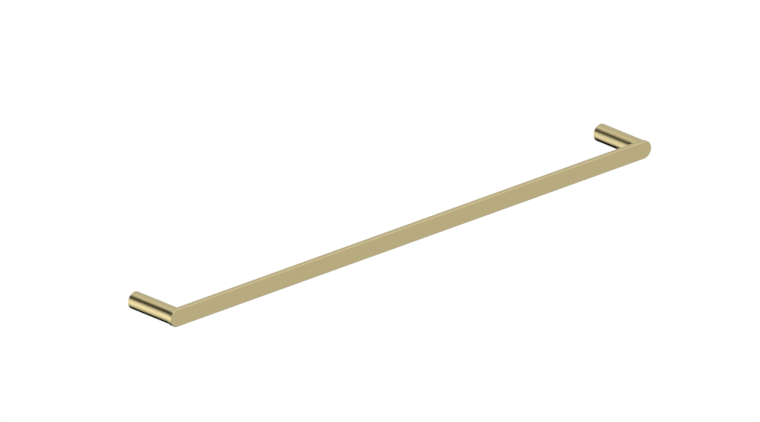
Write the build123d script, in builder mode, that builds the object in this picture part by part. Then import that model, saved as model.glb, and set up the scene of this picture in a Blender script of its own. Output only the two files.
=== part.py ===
from build123d import *
import os

# Wall-mounted towel rail: a flat bar with round ends, carried by two round posts.
# X runs along the bar, the wall is the plane Y = 0 and the bar stands off it towards -Y.
# The origin lies on the wall, midway between the posts and level with their axes.

# Driving dimensions in millimetres

# The rail as it is seen
overall_length = 800.0
bar_height = 22.8
bar_thickness = 6.0
projection = 78.0
post_diameter = 22.5
end_overhang = 1.25
front_edge_chamfer = 0.8
seam_chamfer = 0.25
wall_end_chamfer = 0.3

# Spigots brazed on the back of the bar, tapped for the bar screws
spigot_diameter = 14.0
spigot_length = 7.0
spigot_lead_in = 0.6
tapped_hole_skin = 3.0
tap_runout = 2.0

# Turned posts, bored from the wall end, with a web that the bar screw clamps
post_wall = 3.0
web_thickness = 6.0
bore_mouth_chamfer = 0.5

# Bar screws, with socket heads
bar_screw_diameter = 6.0
bar_screw_head_diameter = 10.0
bar_screw_head_height = 6.0
bar_screw_socket = 5.0
bar_screw_socket_depth = 3.0

# Split lock washers under the bar screws' heads
lock_washer_width = 2.5
lock_washer_thickness = 1.6
lock_washer_slit = 1.0
lock_washer_slant = 1.2

# Wall bosses, each held by one countersunk wall screw
boss_length = 20.0
wall_screw_hole = 5.5
wall_screw_head = 10.5
groove_depth = 1.55

# Grub screws, with cone points that seat in the grooves of the wall bosses
grub_diameter = 4.0
grub_from_wall = 9.0
grub_sink = 0.4
grub_tip_diameter = 0.4
grub_socket = 2.0
grub_socket_depth = 1.6

# Clearances
thread_clearance = 0.05
screw_hole_clearance = 0.3
lock_washer_clearance = 0.15
spigot_clearance = 0.1
spigot_end_gap = 0.4
boss_clearance = 0.1
groove_clearance = 0.05

# Sizes and places that follow from the driving dimensions
# Places along a post are distances from the wall
post_radius = post_diameter / 2
post_offset = overall_length / 2 - end_overhang - post_radius
post_length = projection - bar_thickness
spigot_radius = spigot_diameter / 2
socket_radius = spigot_radius + spigot_clearance
socket_floor = post_length - spigot_length - spigot_end_gap
bore_radius = post_radius - post_wall
bore_floor = socket_floor - web_thickness

bar_screw_radius = bar_screw_diameter / 2
bar_screw_head_radius = bar_screw_head_diameter / 2
bar_screw_seat = bore_floor - lock_washer_thickness
bar_screw_back = bar_screw_seat - bar_screw_head_height
tapped_depth = spigot_length + bar_thickness - tapped_hole_skin
bar_screw_tip = post_length - spigot_length + tapped_depth - tap_runout
lock_washer_bore = bar_screw_radius + lock_washer_clearance

boss_radius = bore_radius - boss_clearance
wall_screw_radius = wall_screw_hole / 2
wall_screw_head_radius = wall_screw_head / 2
countersink_floor = boss_length - (wall_screw_head_radius - wall_screw_radius)

grub_radius = grub_diameter / 2
grub_tip_radius = grub_tip_diameter / 2
grub_outer = post_radius - grub_sink
grub_inner = boss_radius - groove_depth + grub_tip_radius + groove_clearance
grub_length = grub_outer - grub_inner


def post_axis(x):
    """Axis of the post at x, running out from the wall."""
    return Axis((x, 0, 0), (0, -1, 0))


def turning_plane(x):
    """Plane through a post's axis: local x is the distance from the wall, local y the radius."""
    return Plane(origin=(x, 0, 0), x_dir=(0, -1, 0), z_dir=(0, 0, 1))


def facing_wall(x, distance):
    """Plane across a post's axis at a distance from the wall, facing the wall."""
    return Plane(origin=(x, -distance, 0), x_dir=(1, 0, 0), z_dir=(0, 1, 0))


def make_rail_bar():
    """Flat bar with a chamfered front rim, and a tapped spigot on the back of each round end."""
    with BuildPart() as rail_bar:
        with BuildSketch(Plane.XZ.offset(post_length)):
            SlotOverall(overall_length, bar_height)
        extrude(amount=bar_thickness)
        chamfer(rail_bar.faces().sort_by(Axis.Y)[0].edges(), front_edge_chamfer)
        chamfer(rail_bar.faces().sort_by(Axis.Y)[-1].edges(), seam_chamfer)
        with BuildSketch(Plane.XZ.offset(post_length)):
            with Locations((-post_offset, 0), (post_offset, 0)):
                Circle(spigot_radius)
        extrude(amount=-spigot_length)
        spigot_ends = rail_bar.faces().filter_by(Axis.Y).group_by(Axis.Y)[-1]
        chamfer(spigot_ends.edges(), spigot_lead_in)
        spigot_end = post_length - spigot_length
        with Locations(facing_wall(-post_offset, spigot_end), facing_wall(post_offset, spigot_end)):
            Hole(bar_screw_radius + thread_clearance, tapped_depth)
    return rail_bar


def make_post(x):
    """Turned post: bore for the wall boss, web with a screw hole, and socket for the spigot."""
    web_hole = bar_screw_radius + screw_hole_clearance
    with BuildPart() as post:
        with BuildSketch(turning_plane(x)):
            with BuildLine():
                Polyline(
                    (0, bore_radius + bore_mouth_chamfer),
                    (0, post_radius - wall_end_chamfer),
                    (wall_end_chamfer, post_radius),
                    (post_length - seam_chamfer, post_radius),
                    (post_length, post_radius - seam_chamfer),
                    (post_length, socket_radius),
                    (socket_floor, socket_radius),
                    (socket_floor, web_hole),
                    (bore_floor, web_hole),
                    (bore_floor, bore_radius),
                    (bore_mouth_chamfer, bore_radius),
                    close=True,
                )
            make_face()
        revolve(axis=post_axis(x))
        underside = Plane(origin=(x, -grub_from_wall, -post_radius), z_dir=(0, 0, -1))
        with Locations(underside):
            Hole(grub_radius + thread_clearance, post_radius)
    return post


def make_bar_screw(x):
    """Socket cap screw that pulls the post on to the bar."""
    with BuildPart() as bar_screw:
        with BuildSketch(turning_plane(x)):
            with BuildLine():
                Polyline(
                    (bar_screw_back, 0),
                    (bar_screw_back, bar_screw_head_radius),
                    (bar_screw_seat, bar_screw_head_radius),
                    (bar_screw_seat, bar_screw_radius),
                    (bar_screw_tip, bar_screw_radius),
                    (bar_screw_tip, 0),
                    close=True,
                )
            make_face()
        revolve(axis=post_axis(x))
        with BuildSketch(facing_wall(x, bar_screw_back)):
            RegularPolygon(bar_screw_socket / 2, 6, major_radius=False)
        extrude(amount=-bar_screw_socket_depth, mode=Mode.SUBTRACT)
    return bar_screw


def make_lock_washer(x):
    """Split spring washer, pressed flat between the screw's head and the post's web."""
    washer_rim = lock_washer_bore + lock_washer_width
    with BuildPart() as lock_washer:
        with BuildSketch(turning_plane(x)):
            with BuildLine():
                Polyline(
                    (bar_screw_seat, lock_washer_bore),
                    (bar_screw_seat, washer_rim),
                    (bore_floor, washer_rim),
                    (bore_floor, lock_washer_bore),
                    close=True,
                )
            make_face()
        revolve(axis=post_axis(x))
        with BuildSketch(Plane.XY.shift_origin((x, 0, 0))):
            with BuildLine():
                Polyline(
                    (-(lock_washer_slant + lock_washer_slit) / 2, -bar_screw_seat),
                    (-(lock_washer_slant - lock_washer_slit) / 2, -bar_screw_seat),
                    ((lock_washer_slant + lock_washer_slit) / 2, -bore_floor),
                    ((lock_washer_slant - lock_washer_slit) / 2, -bore_floor),
                    close=True,
                )
            make_face()
        extrude(amount=2 * washer_rim, mode=Mode.SUBTRACT)
    return lock_washer


def make_wall_boss(x):
    """Turned boss on the wall, countersunk for its screw and grooved for the grub screw."""
    with BuildPart() as wall_boss:
        with BuildSketch(turning_plane(x)):
            with BuildLine():
                Polyline(
                    (0, wall_screw_radius),
                    (0, boss_radius),
                    (grub_from_wall - groove_depth, boss_radius),
                    (grub_from_wall, boss_radius - groove_depth),
                    (grub_from_wall + groove_depth, boss_radius),
                    (boss_length, boss_radius),
                    (boss_length, wall_screw_head_radius),
                    (countersink_floor, wall_screw_radius),
                    close=True,
                )
            make_face()
        revolve(axis=post_axis(x))
    return wall_boss


def make_grub_screw(x):
    """Cone-pointed set screw, sunk in the post's underside with its tip in the boss's groove."""
    outer_end = (x, -grub_from_wall, -grub_outer)
    cone_start = grub_length - (grub_radius - grub_tip_radius)
    with BuildPart() as grub_screw:
        with BuildSketch(Plane(origin=outer_end, x_dir=(0, 0, 1), z_dir=(0, -1, 0))):
            with BuildLine():
                Polyline(
                    (0, 0),
                    (0, grub_radius),
                    (cone_start, grub_radius),
                    (grub_length, grub_tip_radius),
                    (grub_length, 0),
                    close=True,
                )
            make_face()
        revolve(axis=Axis(outer_end, (0, 0, 1)))
        with BuildSketch(Plane(origin=outer_end, z_dir=(0, 0, -1))):
            RegularPolygon(grub_socket / 2, 6, major_radius=False)
        extrude(amount=-grub_socket_depth, mode=Mode.SUBTRACT)
    return grub_screw


def save(piece, name):
    """Label a finished piece and write it to its own file."""
    piece.part.label = name
    export_step(piece.part, f"parts/{name}.step")


os.makedirs("parts", exist_ok=True)
save(make_rail_bar(), "rail_bar")
for side, x in (("left", -post_offset), ("right", post_offset)):
    save(make_post(x), f"{side}_post")
    save(make_bar_screw(x), f"{side}_bar_screw")
    save(make_lock_washer(x), f"{side}_lock_washer")
    save(make_wall_boss(x), f"{side}_wall_boss")
    save(make_grub_screw(x), f"{side}_grub_screw")
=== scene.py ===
"""Brushed gold towel rail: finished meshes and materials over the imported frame, lit as a studio picture."""
import logging
import math
from dataclasses import dataclass, field
from enum import Enum

import bmesh
import bpy
import numpy as np
from mathutils import Matrix, Vector


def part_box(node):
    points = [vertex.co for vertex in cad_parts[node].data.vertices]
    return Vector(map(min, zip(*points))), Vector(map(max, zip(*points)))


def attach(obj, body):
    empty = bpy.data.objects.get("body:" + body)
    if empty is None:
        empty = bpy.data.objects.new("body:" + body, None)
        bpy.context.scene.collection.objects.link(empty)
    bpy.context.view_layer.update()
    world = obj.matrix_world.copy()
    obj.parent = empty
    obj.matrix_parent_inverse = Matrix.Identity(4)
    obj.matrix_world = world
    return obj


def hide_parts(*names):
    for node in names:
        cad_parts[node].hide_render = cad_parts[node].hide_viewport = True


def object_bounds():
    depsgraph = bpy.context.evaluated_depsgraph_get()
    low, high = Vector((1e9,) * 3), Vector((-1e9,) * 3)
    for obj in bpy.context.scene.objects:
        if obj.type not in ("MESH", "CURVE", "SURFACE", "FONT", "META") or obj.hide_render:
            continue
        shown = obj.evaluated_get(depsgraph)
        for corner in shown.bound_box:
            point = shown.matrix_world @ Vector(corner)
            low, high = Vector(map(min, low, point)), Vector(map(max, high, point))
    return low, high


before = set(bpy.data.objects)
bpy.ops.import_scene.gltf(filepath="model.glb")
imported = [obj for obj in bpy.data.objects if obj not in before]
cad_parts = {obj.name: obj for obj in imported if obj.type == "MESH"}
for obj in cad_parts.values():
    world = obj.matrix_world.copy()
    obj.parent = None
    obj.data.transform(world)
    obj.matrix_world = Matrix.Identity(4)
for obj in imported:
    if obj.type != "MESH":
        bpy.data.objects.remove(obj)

CAD_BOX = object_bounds()
LOG = logging.getLogger("towel_rail")

# All lengths are in metres
MM = 0.001
WELD = 0.001 * MM
SHARP_EDGE = math.radians(30)
FULL_TURN = 2 * math.pi
DOWN, UP, TO_ROOM, TO_WALL, TO_RIGHT = (0, 0, -1), (0, 0, 1), (0, -1, 0), (0, 1, 0), (1, 0, 0)


class Side(Enum):
    """The two ends of the rail, as seen from the room."""

    LEFT = "left"
    RIGHT = "right"

    def node(self, piece: str) -> str:
        """Name of this side's CAD node of a piece."""
        return f"{self.value}_{piece}"


class Lay(Enum):
    """The way that a finishing belt ran, as the order of axes that starts with the way it ran."""

    ALONG_BAR = (0, 2, 1)
    ALONG_POST = (1, 0, 2)

    def grain(self, points: np.ndarray) -> np.ndarray:
        """Coordinates of points along and across the belt's way."""
        return points[..., list(self.value)]


# Surfaces


@dataclass(frozen=True)
class Lathe:
    """An axis to turn a piece about: a place on it, its direction, and where angle zero points."""

    origin: tuple[float, float, float]
    axis: tuple[float, float, float]
    zero: tuple[float, float, float]

    def turn(self, along: np.ndarray, radius: np.ndarray, angle: np.ndarray) -> np.ndarray:
        """Points at a distance along the axis, a radius from it and an angle round it.

        The point is origin + along * axis + radius * (cos(angle) * zero + sin(angle) * (axis x zero)).

        Args:
            along: Distances along the axis.
            radius: Distances from the axis.
            angle: Angles from the zero direction, in radians.

        Returns:
            The points, with the arguments' common shape and a last axis of 3.
        """
        along, radius, angle = (part[..., None] for part in np.broadcast_arrays(along, radius, angle))
        outward = np.cos(angle) * np.array(self.zero) + np.sin(angle) * np.cross(self.axis, self.zero)
        return np.array(self.origin) + along * np.array(self.axis) + radius * outward

    def rings(self, points: np.ndarray) -> np.ndarray:
        """Grain of a turned surface, the same all the way round: zero, the radius and the distance along.

        Args:
            points: Points of the surface.

        Returns:
            Their places along and across the tool's way.
        """
        offset = points - np.array(self.origin)
        along = offset @ np.array(self.axis)
        radius = np.linalg.norm(offset - along[..., None] * np.array(self.axis), axis=-1)
        return np.stack((np.zeros_like(along), radius, along), axis=-1)


def round_angles(columns: int) -> np.ndarray:
    """Angles of evenly spaced columns round a full turn, with the closing one."""
    return np.linspace(0, FULL_TURN, columns + 1)


def hexagon(angle: np.ndarray, across_flats: float) -> np.ndarray:
    """Radius of a hexagon at an angle: half its width, over the cosine of the angle from the nearest flat."""
    sixth = FULL_TURN / 6
    from_flat = np.mod(angle + sixth / 2, sixth) - sixth / 2
    return across_flats / 2 / np.cos(from_flat)


@dataclass
class Patchwork:
    """Grids of points that are sewn into one closed mesh, with the grain of their finish."""

    points: list[np.ndarray] = field(default_factory=list)
    grains: list[np.ndarray] = field(default_factory=list)
    quads: list[np.ndarray] = field(default_factory=list)
    count: int = 0

    def add(self, grid: np.ndarray, grain: np.ndarray, keep: np.ndarray | None = None) -> None:
        """Add a grid of points as a patch: each quad joins two neighbours of one row with two of the next.

        Args:
            grid: Points, as rows by columns by 3.
            grain: Their places along and across the finish, in the same shape.
            keep: Which quads stay, as a mask, or None for all.
        """
        rows, columns = grid.shape[:2]
        index = np.arange(rows * columns).reshape(rows, columns) + self.count
        quads = np.stack((index[:-1, :-1], index[:-1, 1:], index[1:, 1:], index[1:, :-1]), axis=-1)
        self.points.append(grid.reshape(-1, 3))
        self.grains.append(grain.reshape(-1, 3))
        self.quads.append(quads.reshape(-1, 4) if keep is None else quads[keep])
        self.count += rows * columns

    def spin(self, lathe: Lathe, profile: list[tuple[float, float]] | np.ndarray, angle: np.ndarray) -> None:
        """Add a turned surface: each point of a profile, as distance along and radius, becomes a ring.

        Args:
            lathe: The axis.
            profile: Distance along the axis and radius of each ring.
            angle: Angles of the columns.
        """
        along, radius = np.array(profile).T[:, :, None]
        grid = lathe.turn(along, radius, angle)
        self.add(grid, lathe.rings(grid))

    def sew(self, name: str) -> bpy.types.Object:
        """Merge the patches where they meet, turn all faces outwards and make the object.

        Args:
            name: Name of the new piece.

        Returns:
            The piece, at the origin, smooth but for its real edges.
        """
        quads = np.concatenate(self.quads)
        mesh = bpy.data.meshes.new(name)
        mesh.from_pydata(np.concatenate(self.points), [], quads)
        corners = np.concatenate(self.grains)[quads.reshape(-1)]
        grain = mesh.attributes.new("grain", "FLOAT_VECTOR", "CORNER")
        grain.data.foreach_set("vector", corners.reshape(-1))
        shell = bmesh.new()
        shell.from_mesh(mesh)
        bmesh.ops.remove_doubles(shell, verts=shell.verts, dist=WELD)
        bmesh.ops.recalc_face_normals(shell, faces=shell.faces)
        shell.to_mesh(mesh)
        shell.free()
        mesh.shade_smooth()
        mesh.set_sharp_from_angle(angle=SHARP_EDGE)
        piece = bpy.data.objects.new(name, mesh)
        bpy.context.scene.collection.objects.link(piece)
        return piece


@dataclass(frozen=True)
class Thread:
    """A metric screw thread: a trapezoid profile carried along a helix. Its shares are of the pitch."""

    crest: float
    pitch: float
    depth_share: float = 0.6134
    crest_share: float = 0.125
    root_share: float = 0.25

    @property
    def root(self) -> float:
        """Radius at the bottom of the thread."""
        return self.crest - self.depth_share * self.pitch

    def grid(self, lathe: Lathe, start: float, end: float, tip: float, angle: np.ndarray) -> np.ndarray:
        """Surface of the thread from a round neck, at its root, to the screw's cone point.

        A turn has four rows: both edges of the crest and both edges of the root. Row i at an angle lies at
        start + pitch * (place of i in its pitch + turns before it + angle / full turn - 1), so the last
        column meets the first one, four rows on. The radius is the crest's or the root's, but at most
        tip + end - place, the cone's. Rows beyond either end close up on its ring.

        Args:
            lathe: The screw's axis.
            start: Where the thread starts.
            end: Where the screw ends.
            tip: Radius of its end.
            angle: Angles of the columns, with the closing one.

        Returns:
            Grid of points.
        """
        flank = (1 - self.crest_share - self.root_share) / 2
        steps = np.cumsum([0, self.crest_share, flank, self.root_share])
        heights = np.array([self.crest, self.crest, self.root, self.root])
        # A turn more at each end, to close up there
        turns = 1 + math.ceil((end - start) / self.pitch) + 1
        rows = (np.arange(turns)[:, None] + steps).reshape(-1, 1)
        place = start + self.pitch * (rows + angle / FULL_TURN - 1)
        radius = np.where(place > start, np.tile(heights, turns)[:, None], self.root)
        along = np.clip(place, start, end)
        return lathe.turn(along, np.minimum(radius, tip + end - along), angle)


# Finishes


def linear(colour: str) -> tuple[float, float, float, float]:
    """Linear RGBA of an sRGB hex colour: a straight stretch near black, and a power of 2.4 above it."""
    levels = np.array([int(colour[i:i + 2], 16) for i in (1, 3, 5)]) / 255
    bright = ((levels + 0.055) / 1.055) ** 2.4
    return (*np.where(levels <= 0.04045, levels / 12.92, bright).tolist(), 1.0)


def node(
    tree: bpy.types.NodeTree, kind: str, settings: dict[str, str] | None = None, **inputs: object
) -> bpy.types.Node:
    """Add a node with its settings, and fill or link its inputs.

    Args:
        tree: The node tree.
        kind: The node's type name.
        settings: Properties of the node.
        inputs: Values or output sockets, by the input's name with underscores for spaces, or by its place
            as in0, in1 and so on.

    Returns:
        The new node.
    """
    made = tree.nodes.new(kind)
    for name, value in (settings or {}).items():
        setattr(made, name, value)
    for name, value in inputs.items():
        place = name.removeprefix("in")
        socket = made.inputs[int(place)] if place.isdigit() else made.inputs[name.replace("_", " ")]
        if isinstance(value, bpy.types.NodeSocket):
            tree.links.new(value, socket)
        else:
            socket.default_value = value
    return made


def empty_tree(owner: bpy.types.Material | bpy.types.World) -> bpy.types.NodeTree:
    """Node tree of a material or a world, with nothing in it."""
    owner.use_nodes = True
    owner.node_tree.nodes.clear()
    return owner.node_tree


@dataclass(frozen=True)
class Metal:
    """A bare metal: a pattern shades it between two colours and two roughnesses, and gives it a relief."""

    name: str
    bright: str
    dull: str
    smooth: float
    rough: float
    relief: float

    def pattern(self, tree: bpy.types.NodeTree) -> bpy.types.NodeSocket:
        """The surface's pattern, from 0 to 1, which each kind of metal draws in its own way."""
        raise NotImplementedError

    def material(self) -> bpy.types.Material:
        """Make the metal's material.

        Returns:
            The material, brighter and smoother where its pattern is low.
        """
        material = bpy.data.materials.new(self.name)
        tree = empty_tree(material)
        level = self.pattern(tree)
        # A colour mix has its two colours at places 6 and 7, and its result at place 2
        colour = node(
            tree,
            "ShaderNodeMix",
            {"data_type": "RGBA"},
            Factor=level,
            in6=linear(self.bright),
            in7=linear(self.dull),
        )
        roughness = node(tree, "ShaderNodeMapRange", Value=level, To_Min=self.smooth, To_Max=self.rough)
        bump = node(tree, "ShaderNodeBump", Height=level, Distance=self.relief)
        shader = node(
            tree,
            "ShaderNodeBsdfPrincipled",
            Base_Color=colour.outputs[2],
            Roughness=roughness.outputs["Result"],
            Normal=bump.outputs["Normal"],
            Metallic=1.0,
        )
        node(tree, "ShaderNodeOutputMaterial", Surface=shader.outputs["BSDF"])
        return material


@dataclass(frozen=True)
class GrainedMetal(Metal):
    """A metal whose surface was cut in one direction, so its scratches follow the piece's grain."""

    scratch_width: float
    scratch_length: float
    octaves: float = 3.0
    fine_share: float = 0.6

    def pattern(self, tree: bpy.types.NodeTree) -> bpy.types.NodeSocket:
        """Scratches: noise that is as long and as wide as they are, along and across the grain."""
        across, along = 1 / self.scratch_width, 1 / self.scratch_length
        grain = node(tree, "ShaderNodeAttribute", {"attribute_name": "grain"}).outputs["Vector"]
        place = node(tree, "ShaderNodeMapping", Vector=grain, Scale=(along, across, across)).outputs["Vector"]
        scratches = node(
            tree,
            "ShaderNodeTexNoise",
            Vector=place,
            Scale=1.0,
            Detail=self.octaves,
            Roughness=self.fine_share,
        )
        return scratches.outputs["Fac"]


@dataclass(frozen=True)
class CloudedMetal(Metal):
    """A metal whose surface was formed, then tumbled or tempered, so it is only a little cloudy."""

    cloud_size: float
    octaves: float = 4.0

    def pattern(self, tree: bpy.types.NodeTree) -> bpy.types.NodeSocket:
        """Clouds: noise of the same size each way."""
        place = node(tree, "ShaderNodeTexCoord").outputs["Object"]
        scale = 1 / self.cloud_size
        return node(tree, "ShaderNodeTexNoise", Vector=place, Scale=scale, Detail=self.octaves).outputs["Fac"]


class Finish(Enum):
    """The rail's four metals."""

    # Gold-coated brass, brushed by a fine belt: pale, satin, its shine streaked lengthwise.
    # The belt's scratches are about 0.05 mm wide, and are drawn ten times as coarse, to show.
    BRUSHED_GOLD = GrainedMetal(
        name="brushed_gold_coated_brass",
        bright="#ebdba5",
        dull="#e3d39d",
        smooth=0.175,
        rough=0.265,
        relief=0.002 * MM,
        scratch_width=0.5 * MM,
        scratch_length=45 * MM,
    )
    # Stainless steel from the lathe: bright, with fine rings where the tool went round.
    # The tool moves about 0.1 mm a turn, and its rings are drawn three times as coarse, to show.
    TURNED_STEEL = GrainedMetal(
        name="turned_stainless_steel",
        bright="#d2d1cd",
        dull="#b4b3af",
        smooth=0.18,
        rough=0.3,
        relief=0.004 * MM,
        scratch_width=0.3 * MM,
        scratch_length=30 * MM,
    )
    # Stainless steel, cold-formed, rolled and tumbled: grey and softly clouded.
    SCREW_STEEL = CloudedMetal(
        name="cold_formed_stainless_steel",
        bright="#c4c2bd",
        dull="#a09e98",
        smooth=0.22,
        rough=0.38,
        relief=0.001 * MM,
        cloud_size=1.5 * MM,
    )
    # Spring steel, hardened, tempered and oiled: dark, with a dull film.
    SPRING_STEEL = CloudedMetal(
        name="tempered_spring_steel",
        bright="#77787d",
        dull="#545150",
        smooth=0.3,
        rough=0.46,
        relief=0.002 * MM,
        cloud_size=0.8 * MM,
    )

    def dress(self, piece: bpy.types.Object) -> None:
        """Give the whole piece this finish, which is made at its first use."""
        material = bpy.data.materials.get(self.value.name) or self.value.material()
        piece.data.materials.clear()
        piece.data.materials.append(material)


# Pieces of the rail


def settle(piece: bpy.types.Object, finish: Finish, node_name: str) -> None:
    """Dress a new piece, put it in its CAD node's place and report it.

    Args:
        piece: The new piece.
        finish: Its finish.
        node_name: The CAD node that it stands for.
    """
    finish.dress(piece)
    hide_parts(node_name)
    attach(piece, "root")
    LOG.info("%s: %d faces, for %s", piece.name, len(piece.data.polygons), node_name)


def middle(node_name: str) -> tuple[float, float, float]:
    """Centre of a CAD node's box."""
    low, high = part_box(node_name)
    return tuple((low + high) / 2)


def out_from_wall(node_name: str) -> Lathe:
    """Axis of a CAD node out from the wall, starting at its wall end, with angle zero straight down."""
    x, _, z = middle(node_name)
    return Lathe((x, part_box(node_name)[1].y, z), TO_ROOM, DOWN)


def grub_distance(side: Side) -> float:
    """Distance of a side's grub screw from the wall."""
    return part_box(side.node("post"))[1].y - middle(side.node("grub_screw"))[1]


@dataclass
class RailBar:
    """The flat bar with round ends, its chamfered rim, and the tapped spigots on its back."""

    front_chamfer: float = 0.8 * MM
    seam_chamfer: float = 0.25 * MM
    spigot_radius: float = 7.0 * MM
    spigot_lead_in: float = 0.6 * MM
    tapped_radius: float = 3.05 * MM
    tapped_skin: float = 3.0 * MM
    arc_columns: int = 96
    straight_columns: int = 40
    face_rows: int = 4

    def __post_init__(self) -> None:
        """Take the bar's place and main sizes from the frame."""
        low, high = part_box("rail_bar")
        self.front, self.spigot_end = low.y, high.y
        self.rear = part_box(Side.LEFT.node("post"))[0].y
        self.half_height = (high.z - low.z) / 2
        self.half_span = (high.x - low.x) / 2 - self.half_height
        self.half_turn = np.linspace(-math.pi / 2, math.pi / 2, self.arc_columns + 1)
        self.round = round_angles(2 * self.arc_columns)
        # Distances along these axes are measured as Y
        ends = {Side.LEFT: -self.half_span, Side.RIGHT: self.half_span}
        self.ends = {side: Lathe((x, 0, 0), TO_WALL, TO_RIGHT) for side, x in ends.items()}
        posts = {side: middle(side.node("post"))[0] for side in Side}
        self.spigots = {side: Lathe((x, 0, 0), TO_WALL, TO_RIGHT) for side, x in posts.items()}

    def rim(self, work: Patchwork) -> None:
        """Add the rim: rings round the bar, a radius off the line between the centres of its ends.

        The radius is half the height, less the chamfer's inset. Scratches follow the outline.

        Args:
            work: The mesh to add to.
        """
        run = np.linspace(self.half_span, -self.half_span, self.straight_columns + 1)[1:-1]
        end = np.full(self.arc_columns + 1, self.half_span)
        straight = np.full(run.size, math.pi / 2)
        centre = np.concatenate((end, run, -end, -run, end[:1]))
        right_end, left_end = self.half_turn, self.half_turn + math.pi
        bearing = np.concatenate((right_end, straight, left_end, -straight, right_end[:1]))
        inset = np.array([self.front_chamfer, 0, 0, self.seam_chamfer])[:, None]
        y = np.array([
            self.front, self.front + self.front_chamfer, self.rear - self.seam_chamfer, self.rear
        ])[:, None]
        radius = self.half_height - inset
        x, y, z = np.broadcast_arrays(centre + radius * np.cos(bearing), y, radius * np.sin(bearing))
        along, across = np.broadcast_arrays(centre, y)
        work.add(np.stack((x, y, z), axis=-1), np.stack((along, across, np.zeros_like(y)), axis=-1))

    def face(
        self, work: Patchwork, inset: float, y: float, hubs: dict[Side, Lathe], hub_radius: float
    ) -> None:
        """Fill a flat face: a disc at each end, and rows between the two discs at equal heights.

        A disc's rings go in even steps from its round edge to a smaller circle, its hub.

        Args:
            work: The mesh to add to.
            inset: Distance of the face's edge inside the bar's outline.
            y: Place of the face.
            hubs: Axis of each side's hub.
            hub_radius: Radius of the hubs.
        """
        radius = self.half_height - inset
        height = self.half_turn[:, None]
        spread = np.linspace(-1, 1, self.straight_columns + 1)
        x = spread * (self.half_span - radius * np.cos(height))
        z = np.broadcast_to(radius * np.sin(height), x.shape)
        rows = np.stack((x, np.full_like(x, y), z), axis=-1)
        work.add(rows, Lay.ALONG_BAR.grain(rows))
        share = np.linspace(0, 1, self.face_rows)[:, None, None]
        for side in Side:
            edge = self.ends[side].turn(y, radius, self.round)
            rings = edge + share * (hubs[side].turn(y, hub_radius, self.round) - edge)
            work.add(rings, Lay.ALONG_BAR.grain(rings))

    def build(self) -> None:
        """Sew rim, faces and spigots into the bar and dress it."""
        work = Patchwork()
        self.rim(work)
        self.face(work, self.front_chamfer, self.front, self.ends, 0)
        self.face(work, self.seam_chamfer, self.rear, self.spigots, self.spigot_radius)
        spigot = [
            (self.rear, self.spigot_radius),
            (self.spigot_end - self.spigot_lead_in, self.spigot_radius),
            (self.spigot_end, self.spigot_radius - self.spigot_lead_in),
            (self.spigot_end, self.tapped_radius),
            (self.front + self.tapped_skin, self.tapped_radius),
            (self.front + self.tapped_skin, 0),
        ]
        for side in Side:
            work.spin(self.spigots[side], spigot, self.round)
        settle(work.sew("gold_rail_bar"), Finish.BRUSHED_GOLD, "rail_bar")


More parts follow.
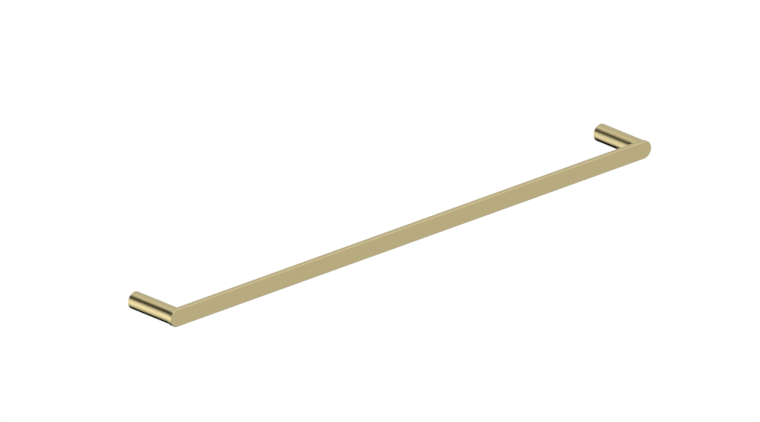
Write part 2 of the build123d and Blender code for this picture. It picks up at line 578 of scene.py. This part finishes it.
@dataclass
class Post:
    """A round post: bored for the wall boss, pierced for the grub screw, and socketed for the spigot."""

    side: Side
    wall_end_chamfer: float = 0.3 * MM
    seam_chamfer: float = 0.25 * MM
    bore_radius: float = 8.25 * MM
    bore_chamfer: float = 0.5 * MM
    web_hole_radius: float = 3.3 * MM
    web_thickness: float = 6.0 * MM
    socket_radius: float = 7.1 * MM
    socket_depth: float = 7.4 * MM
    grub_hole_radius: float = 2.05 * MM
    columns: int = 192
    window_columns: int = 20
    window_rows: int = 20
    window_half_length: float = 3.3 * MM
    patch_rows: int = 4

    def __post_init__(self) -> None:
        """Take the post's place and sizes from the frame, and start its columns beside the grub screw."""
        name = self.side.node("post")
        low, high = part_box(name)
        self.lathe = out_from_wall(name)
        self.radius = (high.x - low.x) / 2
        self.length = high.y - low.y
        self.grub = grub_distance(self.side)
        self.angle = round_angles(self.columns) - self.window_columns / 2 * FULL_TURN / self.columns
        self.window = self.grub + np.linspace(-1, 1, self.window_rows + 1) * self.window_half_length

    def wall(self, work: Patchwork, first: float, last: float, radius: float, lay: Lay | None) -> np.ndarray:
        """Add one round wall of the post, pierced by the grub screw's hole.

        The wall's quads leave out a window in its rows and columns, and a patch fills it round the hole. Each
        point of the patch lies part of the way from the window's edge to the hole's, in distance along the
        post and in angle. At a bearing from its centre, the hole's edge lies hole radius * sin(bearing) along
        the post, and at the arc sine of hole radius * cos(bearing) / wall radius round it.

        Args:
            work: The mesh to add to.
            first: Where the wall starts.
            last: Where it ends.
            radius: Its radius.
            lay: The way it was brushed, or None if it was bored.

        Returns:
            Points of the hole's edge.
        """
        along = np.array([first, *self.window, last])
        top, bottom = 1, 1 + self.window_rows
        keep = np.ones((along.size - 1, self.columns), bool)
        keep[top:bottom, :self.window_columns] = False
        grid = self.lathe.turn(along[:, None], radius, self.angle)
        across, down = np.arange(self.window_columns), np.arange(top, bottom)
        right_edge, lower_edge = np.full(down.size, self.window_columns), np.full(across.size, bottom)
        row = np.concatenate((np.full(across.size, top), down, lower_edge, down[::-1] + 1, [top]))
        column = np.concatenate((across, right_edge, across[::-1] + 1, np.zeros(down.size + 1, int)))
        edge_along, edge_angle = along[row], self.angle[column]
        bearing = np.arctan2(edge_along - self.grub, edge_angle * self.radius)
        hole_along = self.grub + self.grub_hole_radius * np.sin(bearing)
        hole_angle = np.arcsin(self.grub_hole_radius * np.cos(bearing) / radius)
        share = np.linspace(0, 1, self.patch_rows)[:, None]
        patch = self.lathe.turn(
            edge_along + share * (hole_along - edge_along),
            radius,
            edge_angle + share * (hole_angle - edge_angle),
        )
        for part, kept in ((grid, keep), (patch, None)):
            work.add(part, self.lathe.rings(part) if lay is None else lay.grain(part), kept)
        return patch[-1]

    def build(self) -> None:
        """Sew walls, ends and the grub screw's hole into the post and dress it."""
        work = Patchwork()
        socket_floor = self.length - self.socket_depth
        bore_floor = socket_floor - self.web_thickness
        seam = self.length - self.seam_chamfer
        outer_edge = self.wall(work, self.wall_end_chamfer, seam, self.radius, Lay.ALONG_POST)
        inner_edge = self.wall(work, self.bore_chamfer, bore_floor, self.bore_radius, None)
        hole = np.stack((outer_edge, inner_edge))
        work.add(hole, self.lathe.rings(hole))
        wall_end = [
            (self.bore_chamfer, self.bore_radius),
            (0, self.bore_radius + self.bore_chamfer),
            (0, self.radius - self.wall_end_chamfer),
            (self.wall_end_chamfer, self.radius),
        ]
        bar_end = [
            (seam, self.radius),
            (self.length, self.radius - self.seam_chamfer),
            (self.length, self.socket_radius),
            (socket_floor, self.socket_radius),
            (socket_floor, self.web_hole_radius),
            (bore_floor, self.web_hole_radius),
            (bore_floor, self.bore_radius),
        ]
        for profile in (wall_end, bar_end):
            work.spin(self.lathe, profile, self.angle)
        name = self.side.node("post")
        settle(work.sew(f"gold_{name}"), Finish.BRUSHED_GOLD, name)


@dataclass
class WallBoss:
    """A turned boss on the wall: countersunk hole for its screw, and a groove for the grub screw."""

    side: Side
    screw_hole_radius: float = 2.75 * MM
    screw_head_radius: float = 5.25 * MM
    groove_depth: float = 1.55 * MM
    edge_break: float = 0.2 * MM
    columns: int = 128

    def build(self) -> None:
        """Turn the boss's profile about the post's axis and dress it."""
        name = self.side.node("wall_boss")
        low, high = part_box(name)
        radius, length = (high.x - low.x) / 2, high.y - low.y
        groove = grub_distance(self.side)
        profile = [
            (0, self.screw_hole_radius + self.edge_break),
            (0, radius - self.edge_break),
            (self.edge_break, radius),
            (groove - self.groove_depth, radius),
            (groove, radius - self.groove_depth),
            (groove + self.groove_depth, radius),
            (length - self.edge_break, radius),
            (length, radius - self.edge_break),
            (length, self.screw_head_radius),
            (length - self.screw_head_radius + self.screw_hole_radius, self.screw_hole_radius),
            (self.edge_break, self.screw_hole_radius),
            (0, self.screw_hole_radius + self.edge_break),
        ]
        work = Patchwork()
        work.spin(out_from_wall(name), profile, round_angles(self.columns))
        settle(work.sew(f"steel_{name}"), Finish.TURNED_STEEL, name)


@dataclass
class SocketScrew:
    """What the two kinds of screw share: a hexagon socket in one end, and a thread up to the other."""

    side: Side
    kind: str
    socket: float
    socket_depth: float
    thread: Thread
    tip_radius: float
    columns: int

    def __post_init__(self) -> None:
        """Take the screw's place from the frame, and space its columns round it."""
        self.name = self.side.node(self.kind)
        self.low, self.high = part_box(self.name)
        self.angle = round_angles(self.columns)

    def socket_end(self, work: Patchwork, lathe: Lathe, rim: float) -> None:
        """Add the flat end with the socket in it: floor, six walls, and the face out to a round rim.

        Args:
            work: The mesh to add to.
            lathe: The screw's axis, from that end inwards.
            rim: Radius where the flat end stops.
        """
        six = hexagon(self.angle, self.socket)
        radius = np.stack((np.zeros_like(six), six, six, np.full_like(six, rim)))
        along = np.array([self.socket_depth, self.socket_depth, 0, 0])[:, None]
        grid = lathe.turn(along, radius, self.angle)
        work.add(grid, lathe.rings(grid))

    def threaded_end(self, work: Patchwork, lathe: Lathe, start: float, length: float) -> None:
        """Add the thread and the flat tip of the cone that it ends in.

        Args:
            work: The mesh to add to.
            lathe: The screw's axis.
            start: Where the thread starts.
            length: Where the screw ends.
        """
        grid = self.thread.grid(lathe, start, length, self.tip_radius, self.angle)
        work.add(grid, lathe.rings(grid))
        work.spin(lathe, [(length, self.tip_radius), (length, 0)], self.angle)

    def finish(self, work: Patchwork) -> None:
        """Sew the screw and dress it."""
        settle(work.sew(f"threaded_{self.name}"), Finish.SCREW_STEEL, self.name)


@dataclass
class BarScrew(SocketScrew):
    """The socket cap screw inside a post that pulls the post on to the bar, its head knurled."""

    kind: str = "bar_screw"
    socket: float = 5.0 * MM
    socket_depth: float = 3.0 * MM
    thread: Thread = Thread(crest=3.0 * MM, pitch=1.0 * MM)
    tip_radius: float = 2.2 * MM
    columns: int = 144
    head_height: float = 6.0 * MM
    head_chamfer: float = 0.6 * MM
    knurl_ridges: int = 36
    knurl_depth: float = 0.2 * MM

    def build(self) -> None:
        """Sew the head and the thread into the screw.

        The head's radius waves once for each ridge of its knurl.
        """
        lathe = out_from_wall(self.name)
        head_radius, length = (self.high.x - self.low.x) / 2, self.high.y - self.low.y
        wave = (1 + np.cos(self.knurl_ridges * self.angle)) / 2
        knurled = head_radius - self.knurl_depth * (1 - wave)
        plain = np.ones_like(wave)
        base = self.head_height - self.knurl_depth
        radius = np.stack((
            plain * (head_radius - self.head_chamfer),
            plain * (head_radius - self.knurl_depth),
            knurled,
            knurled,
            plain * (head_radius - self.knurl_depth),
            plain * self.thread.root,
        ))
        along = np.array([
            0,
            self.head_chamfer - self.knurl_depth,
            self.head_chamfer,
            base,
            self.head_height,
            self.head_height,
        ])[:, None]
        head = lathe.turn(along, radius, self.angle)
        work = Patchwork()
        self.socket_end(work, lathe, head_radius - self.head_chamfer)
        work.add(head, lathe.rings(head))
        self.threaded_end(work, lathe, self.head_height, length)
        self.finish(work)


@dataclass
class GrubScrew(SocketScrew):
    """The cone-pointed set screw in a post's underside, its tip in the wall boss's groove."""

    kind: str = "grub_screw"
    socket: float = 2.0 * MM
    socket_depth: float = 1.6 * MM
    thread: Thread = Thread(crest=2.0 * MM, pitch=0.7 * MM)
    tip_radius: float = 0.2 * MM
    columns: int = 72
    end_chamfer: float = 0.2 * MM

    def build(self) -> None:
        """Sew the chamfered end and the thread into the screw."""
        x, y, _ = middle(self.name)
        lathe = Lathe((x, y, self.low.z), UP, TO_RIGHT)
        rim = self.thread.root - self.end_chamfer
        work = Patchwork()
        self.socket_end(work, lathe, rim)
        work.spin(lathe, [(0, rim), (self.end_chamfer, self.thread.root)], self.angle)
        self.threaded_end(work, lathe, self.end_chamfer, self.high.z - self.low.z)
        self.finish(work)


@dataclass
class LockWasher:
    """The split spring washer under a bar screw's head, whose CAD node stays."""

    side: Side

    def build(self) -> None:
        """Dress the washer's CAD node."""
        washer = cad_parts[self.side.node("lock_washer")]
        Finish.SPRING_STEEL.dress(washer)
        LOG.info("%s: CAD node, dressed", washer.name)


# Studio


def toward(azimuth: float, elevation: float) -> Vector:
    """Direction at an azimuth, from the room's middle to the right, and an elevation, both in degrees."""
    turn, rise = math.radians(azimuth), math.radians(elevation)
    return Vector((math.sin(turn) * math.cos(rise), -math.cos(turn) * math.cos(rise), math.sin(rise)))


@dataclass(frozen=True)
class SoftBox:
    """A round soft light on the tent, full in its core and fading out to its edge.

    One with a radiance below zero is a flag, which takes light away. All angles are in degrees, as seen from
    the tent's middle.
    """

    azimuth: float
    elevation: float
    core: float
    edge: float
    radiance: float

    def glow(self, tree: bpy.types.NodeTree, direction: bpy.types.NodeSocket) -> bpy.types.NodeSocket:
        """Light from a direction: a smooth step of the cosine of its angle from the box's middle.

        Args:
            tree: The tent's node tree.
            direction: The direction of a place on the tent.

        Returns:
            The box's radiance in that direction.
        """
        aim = toward(self.azimuth, self.elevation)
        cosine = node(tree, "ShaderNodeVectorMath", {"operation": "DOT_PRODUCT"}, in0=direction, in1=aim)
        step = node(
            tree,
            "ShaderNodeMapRange",
            {"interpolation_type": "SMOOTHSTEP"},
            Value=cosine.outputs["Value"],
            From_Min=math.cos(math.radians(self.edge)),
            From_Max=math.cos(math.radians(self.core)),
            To_Max=self.radiance,
        )
        return step.outputs["Result"]


@dataclass
class Studio:
    """A plain pale floor, a round tent of soft light, and the camera at the photograph's angle."""

    white: str = "#ffffff"
    tent_glow: float = 0.594
    tent_radius: float = 7.0
    tent_rows: int = 48
    tent_columns: int = 96
    # What these give the posts, from the top down: a pale stripe, from overhead, a dark band, from the slit
    # flag, a bright band, from the back box, cut off above by the back flag, and a black line, from the floor
    # and edge flags. The front box lights the bar's upper chamfer.
    overhead: SoftBox = SoftBox(azimuth=176, elevation=56, core=11, edge=14, radiance=0.2)
    front: SoftBox = SoftBox(azimuth=19, elevation=60, core=37, edge=49, radiance=0.23)
    back: SoftBox = SoftBox(azimuth=-151, elevation=-14, core=12, edge=41, radiance=1.22)
    slit_flag: SoftBox = SoftBox(azimuth=-128, elevation=41, core=1, edge=24, radiance=-0.78)
    floor_flag: SoftBox = SoftBox(azimuth=-159, elevation=-54, core=12, edge=64, radiance=-0.94)
    edge_flag: SoftBox = SoftBox(azimuth=155, elevation=-38, core=17, edge=20, radiance=-0.46)
    back_flag: SoftBox = SoftBox(azimuth=-155, elevation=4, core=6, edge=31, radiance=-1.26)
    # Backdrop and floor glow just over white, so that the ground comes out fully white
    ground_glow: float = 1.005
    floor_drop: float = 0.35
    floor_half_size: float = 12.0
    image_width: int = 760
    image_height: int = 422
    azimuth: float = -43.155
    elevation: float = 22.588
    pixels_per_metre: float = 823.39
    # Where the frame's origin, on the wall between the posts, falls in the picture
    origin_pixel: tuple[float, float] = (367.405, 216.182)
    camera_distance: float = 3.0

    def build(self) -> None:
        """Set up backdrop, tent, floor and camera, and have levels shown as they are."""
        bpy.context.scene.view_settings.view_transform = "Standard"
        self.hang()
        self.tent()
        self.floor()
        self.camera()

    def hang(self) -> None:
        """Hang an even pale backdrop, which the camera sees and which lights nothing."""
        world = bpy.data.worlds.new("pale_backdrop")
        bpy.context.scene.world = world
        tree = empty_tree(world)
        seen = node(tree, "ShaderNodeLightPath").outputs["Is Camera Ray"]
        level = node(tree, "ShaderNodeMath", {"operation": "MULTIPLY"}, in0=seen, in1=self.ground_glow)
        sky = node(tree, "ShaderNodeBackground", Color=linear(self.white), Strength=level.outputs[0])
        node(tree, "ShaderNodeOutputWorld", Surface=sky.outputs["Background"])

    def tent(self) -> None:
        """Put a round tent of light about the rail, which the metal mirrors and the camera doesn't see.

        It is a sphere: its rings lie at radius * cos(fall) above the middle and at radius * sin(fall) from
        the upright axis, where fall is the angle from the top. Soft boxes add to its even glow and flags take
        from it, down to nothing.
        """
        fall = np.linspace(0, math.pi, self.tent_rows + 1)
        profile = self.tent_radius * np.stack((np.cos(fall), np.sin(fall)), axis=-1)
        work = Patchwork()
        work.spin(Lathe((0, 0, 0), UP, TO_RIGHT), profile, round_angles(self.tent_columns))
        tent = work.sew("light_tent")
        # White cloth with lamps behind it: it only glows, more in some places than in others
        material = bpy.data.materials.new("white_tent_cloth")
        tree = empty_tree(material)
        place = node(tree, "ShaderNodeTexCoord").outputs["Object"]
        aim = node(tree, "ShaderNodeVectorMath", {"operation": "NORMALIZE"}, in0=place)
        total: float | bpy.types.NodeSocket = self.tent_glow
        boxes = (self.overhead, self.front, self.back)
        flags = (self.slit_flag, self.floor_flag, self.edge_flag, self.back_flag)
        for box in boxes + flags:
            glow = box.glow(tree, aim.outputs["Vector"])
            total = node(tree, "ShaderNodeMath", {"operation": "ADD"}, in0=total, in1=glow).outputs[0]
        lit = node(tree, "ShaderNodeMath", {"operation": "MAXIMUM"}, in0=total, in1=0.0).outputs[0]
        light = node(tree, "ShaderNodeEmission", Color=linear(self.white), Strength=lit)
        node(tree, "ShaderNodeOutputMaterial", Surface=light.outputs["Emission"])
        tent.data.materials.append(material)
        tent.visible_camera = False

    def floor(self) -> None:
        """Lay an evenly lit pale floor, a flat square well below the rail, which the metal doesn't mirror.

        It is clear from below, so that the rail's underside can be looked at.
        """
        span = np.array([-self.floor_half_size, self.floor_half_size])
        x, y = np.meshgrid(span, span)
        grid = np.stack((x, y, np.full_like(x, CAD_BOX[0].z - self.floor_drop)), axis=-1)
        work = Patchwork()
        work.add(grid, grid)
        floor = work.sew("studio_floor")
        # White paper, evenly lit: a pale ground with no texture to see
        material = bpy.data.materials.new("pale_floor")
        tree = empty_tree(material)
        glow = node(tree, "ShaderNodeEmission", Color=linear(self.white), Strength=self.ground_glow)
        below = node(tree, "ShaderNodeNewGeometry").outputs["Backfacing"]
        clear = node(tree, "ShaderNodeBsdfTransparent").outputs["BSDF"]
        sheet = node(tree, "ShaderNodeMixShader", in0=below, in1=glow.outputs["Emission"], in2=clear)
        node(tree, "ShaderNodeOutputMaterial", Surface=sheet.outputs["Shader"])
        floor.data.materials.append(material)
        floor.visible_glossy = False
        floor.visible_diffuse = False
        floor.visible_shadow = False

    def camera(self) -> None:
        """Aim a parallel camera so that the frame's origin falls on its pixel."""
        back = toward(self.azimuth, self.elevation)
        right = Vector(UP).cross(back).normalized()
        up = back.cross(right)
        across = (self.image_width / 2 - self.origin_pixel[0]) / self.pixels_per_metre
        above = (self.origin_pixel[1] - self.image_height / 2) / self.pixels_per_metre
        lens = bpy.data.cameras.new("studio_camera")
        lens.type = "ORTHO"
        lens.ortho_scale = self.image_width / self.pixels_per_metre
        camera = bpy.data.objects.new("studio_camera", lens)
        bpy.context.scene.collection.objects.link(camera)
        place = back * self.camera_distance + right * across + up * above
        camera.matrix_world = Matrix.Translation(place) @ Matrix((right, up, back)).transposed().to_4x4()
        bpy.context.scene.camera = camera


def main() -> None:
    """Build and dress every piece of the rail, then the studio, and log each piece's face count."""
    logging.basicConfig(level=logging.INFO, format="%(message)s")
    RailBar().build()
    for side in Side:
        Post(side).build()
        WallBoss(side).build()
        GrubScrew(side).build()
        BarScrew(side).build()
        LockWasher(side).build()
    Studio().build()


if __name__ == "__main__":
    main()
